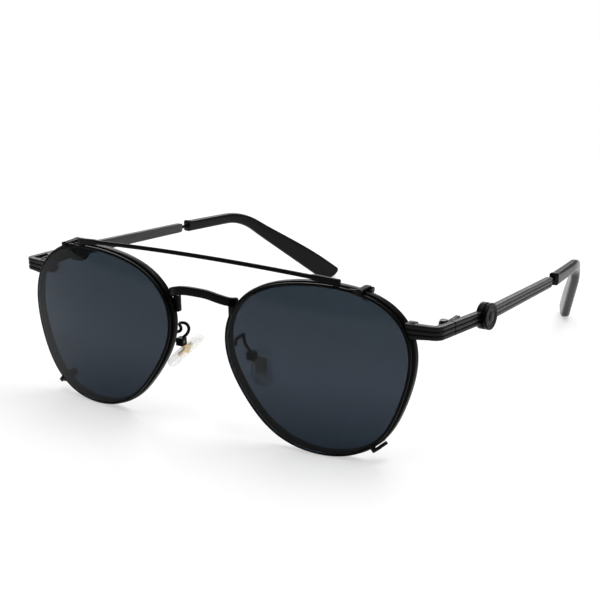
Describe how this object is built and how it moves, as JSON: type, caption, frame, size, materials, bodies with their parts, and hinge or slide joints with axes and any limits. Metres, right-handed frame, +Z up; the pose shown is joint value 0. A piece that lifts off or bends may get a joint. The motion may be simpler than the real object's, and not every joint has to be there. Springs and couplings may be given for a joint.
{
  "type": "flip up sunglasses",
  "caption": "Thin black wire eyeglasses with clear lenses and a dark round-cornered sun front on a brow bar that flips up; ribbed folding temples with plastic ear tips.",
  "frame": {"origin": "middle of the part's bounding box, on the table that the rims and temple tips rest on", "axes": "+X towards the wearer's left, +Y from the lenses back to the ears, +Z up; the part lies open on a table"},
  "size_m": [0.1426, 0.1482, 0.0502],
  "materials": {
    "black_metal": "satin black plating over a copper and nickel alloy",
    "dark_lens": "grey tinted, polished, see-through",
    "clear_lens": "clear, polished",
    "black_acetate": "polished black",
    "clear_silicone": "milky clear, soft",
    "gold_metal": "gold coloured",
    "screw_steel": "darkened steel"
  },
  "bodies": {
    "frame": {"base_rim_left": "black_metal", "base_rim_right": "black_metal", "clear_lens_left": "clear_lens", "clear_lens_right": "clear_lens", "bridge": "black_metal", "endpiece_left": "black_metal", "endpiece_right": "black_metal", "frame_hinge_left": "black_metal", "frame_hinge_right": "black_metal", "hinge_screw_left": "screw_steel", "hinge_screw_right": "screw_steel", "rim_lock_left": "black_metal", "rim_lock_right": "black_metal", "lock_screw_left": "screw_steel", "lock_screw_right": "screw_steel", "pad_arm_left": "black_metal", "pad_arm_right": "black_metal", "pad_box_left": "black_metal", "pad_box_right": "black_metal", "pad_screw_left": "screw_steel", "pad_screw_right": "screw_steel", "flip_lug_left": "black_metal", "flip_lug_right": "black_metal", "flip_pin_left": "screw_steel", "flip_pin_right": "screw_steel", "lower_catch_left": "black_metal", "lower_catch_right": "black_metal"},
    "sun_front": {"sun_rim_left": "black_metal", "sun_rim_right": "black_metal", "sun_lens_left": "dark_lens", "sun_lens_right": "dark_lens", "brow_bar": "black_metal", "upper_claw_left": "black_metal", "upper_claw_right": "black_metal", "lower_claw_left": "black_metal", "lower_claw_right": "black_metal"},
    "temple_left": {"temple_strip_left": "black_metal", "temple_hinge_left": "black_metal", "temple_boss_left": "black_metal", "boss_disc_left": "black_metal", "core_wire_left": "black_metal", "temple_tip_left": "black_acetate"},
    "temple_right": {"temple_strip_right": "black_metal", "temple_hinge_right": "black_metal", "temple_boss_right": "black_metal", "boss_disc_right": "black_metal", "core_wire_right": "black_metal", "temple_tip_right": "black_acetate"},
    "nose_pad_left": {"nose_pad_left": "clear_silicone", "pad_core_left": "gold_metal"},
    "nose_pad_right": {"nose_pad_right": "clear_silicone", "pad_core_right": "gold_metal"}
  },
  "joints": [
    {"name": "flip_up", "type": "hinge", "parent": "frame", "child": "sun_front", "pos_m": [0, -0.06454, 0.04509], "axis": [-1, 0, 0], "range_deg": [0, 100]},
    {"name": "temple_fold_left", "type": "hinge", "parent": "frame", "child": "temple_left", "pos_m": [0.06593, -0.05701, 0.0354], "axis": [0, 0, 1], "range_deg": [0, 80]},
    {"name": "temple_fold_right", "type": "hinge", "parent": "frame", "child": "temple_right", "pos_m": [-0.06593, -0.05701, 0.0354], "axis": [0, 0, -1], "range_deg": [0, 70]},
    {"name": "pad_rock_left", "type": "hinge", "parent": "frame", "child": "nose_pad_left", "pos_m": [0.012, -0.06461, 0.02106], "axis": [1, 0, 0], "range_deg": [-8, 8]},
    {"name": "pad_rock_right", "type": "hinge", "parent": "frame", "child": "nose_pad_right", "pos_m": [-0.012, -0.06461, 0.02106], "axis": [1, 0, 0], "range_deg": [-8, 8]}
  ]
}
